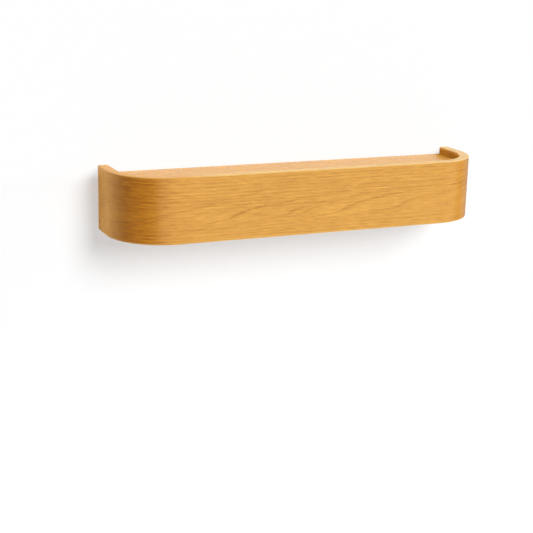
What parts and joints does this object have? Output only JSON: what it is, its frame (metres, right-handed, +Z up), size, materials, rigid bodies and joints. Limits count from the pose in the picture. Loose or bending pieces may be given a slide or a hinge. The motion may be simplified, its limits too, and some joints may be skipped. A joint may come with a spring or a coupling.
{
  "type": "coat rack with shelf",
  "caption": "Wall coat rack with a shelf: a bent oak band wraps a recessed shelf board and hides a row of turned pegs on a keyhole-hung back rail.",
  "frame": {"origin": "on the wall plane, midway between the entry holes of the two keyhole plates", "axes": "+X along the rack, to the right seen from the front; +Y into the wall; +Z up"},
  "size_m": [0.8, 0.165, 0.13],
  "materials": {
    "oak_band": "oak veneer, satin lacquer",
    "oak_shelf": "oak veneer, satin lacquer",
    "oak_rail": "solid oak, satin lacquer",
    "oak_peg": "turned oak, satin lacquer",
    "beech_dowel": "raw beech",
    "plate_steel": "zinc plated",
    "screw_steel": "zinc plated"
  },
  "bodies": {
    "root": {"front_band": "oak_band", "shelf_board": "oak_shelf", "back_rail": "oak_rail", "peg_1": "oak_peg", "peg_2": "oak_peg", "peg_3": "oak_peg", "peg_4": "oak_peg", "peg_5": "oak_peg", "rail_dowels": "beech_dowel", "rail_end_screws": "screw_steel", "keyhole_plate_left": "plate_steel", "keyhole_plate_right": "plate_steel", "keyhole_plate_screws": "screw_steel"}
  },
  "joints": []
}
